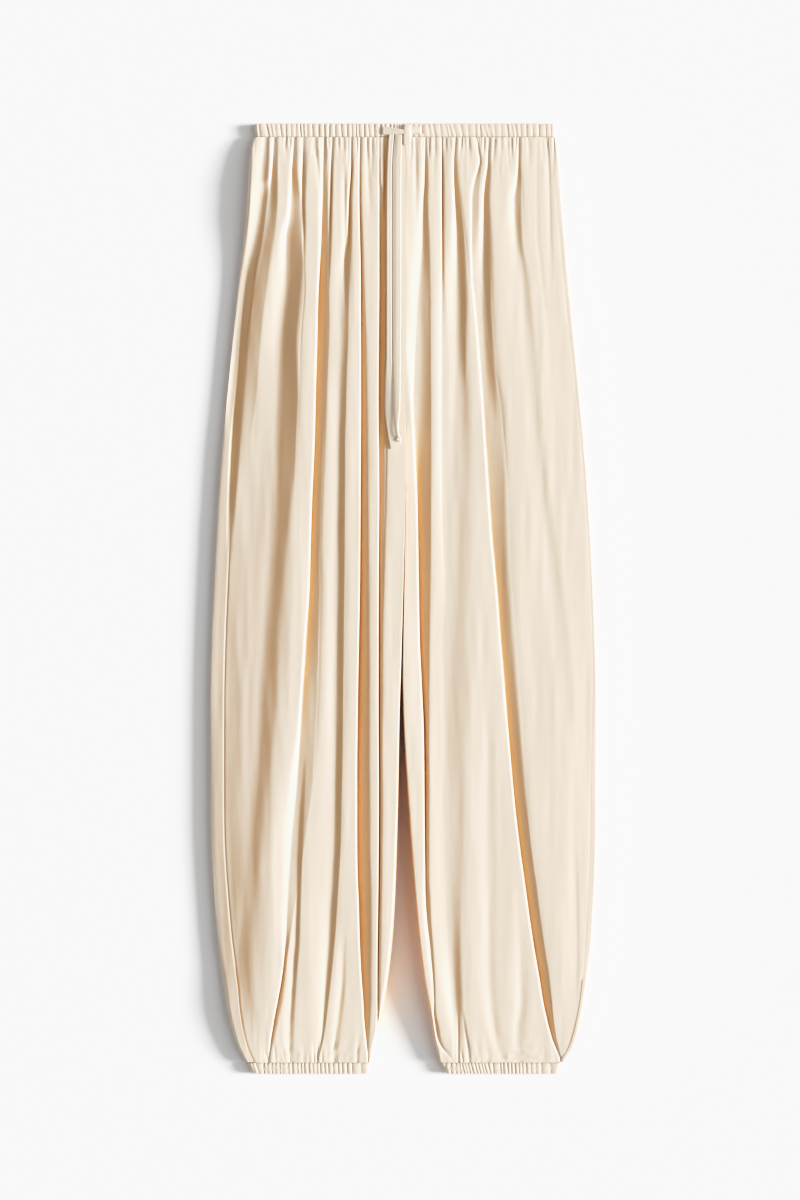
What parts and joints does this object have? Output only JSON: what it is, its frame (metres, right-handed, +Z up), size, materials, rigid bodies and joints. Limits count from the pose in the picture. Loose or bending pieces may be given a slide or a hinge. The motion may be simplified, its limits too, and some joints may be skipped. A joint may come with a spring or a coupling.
{
  "type": "balloon pants laid flat",
  "caption": "Wide pull-on trousers laid flat, gathered into a narrow ruched waistband and ruched cuffs, with pleated fronts and a self-fabric tie.",
  "frame": {"origin": "centre of the bounding box at its bottom, on the surface the garment lies on", "axes": "+Y from the cuffs towards the waistband, +Z up out of the surface, +X towards the right of the view"},
  "size_m": [0.42, 1.029, 0.0307],
  "materials": {
    "cloth": "smooth fine weave with a soft sheen, cream",
    "casing": "the same cloth ruched over elastic",
    "tie": "the same cloth sewn as a flat ribbon"
  },
  "bodies": {
    "root": {"front_left": "cloth", "front_right": "cloth", "back_left": "cloth", "back_right": "cloth", "waistband_front": "casing", "waistband_back": "casing", "cuff_left_front": "casing", "cuff_left_back": "casing", "cuff_right_front": "casing", "cuff_right_back": "casing", "tie_knot": "tie", "tie_strip_left": "tie", "tie_strip_right": "tie", "tie_tail_left": "tie", "tie_tail_right": "tie"}
  },
  "joints": []
}
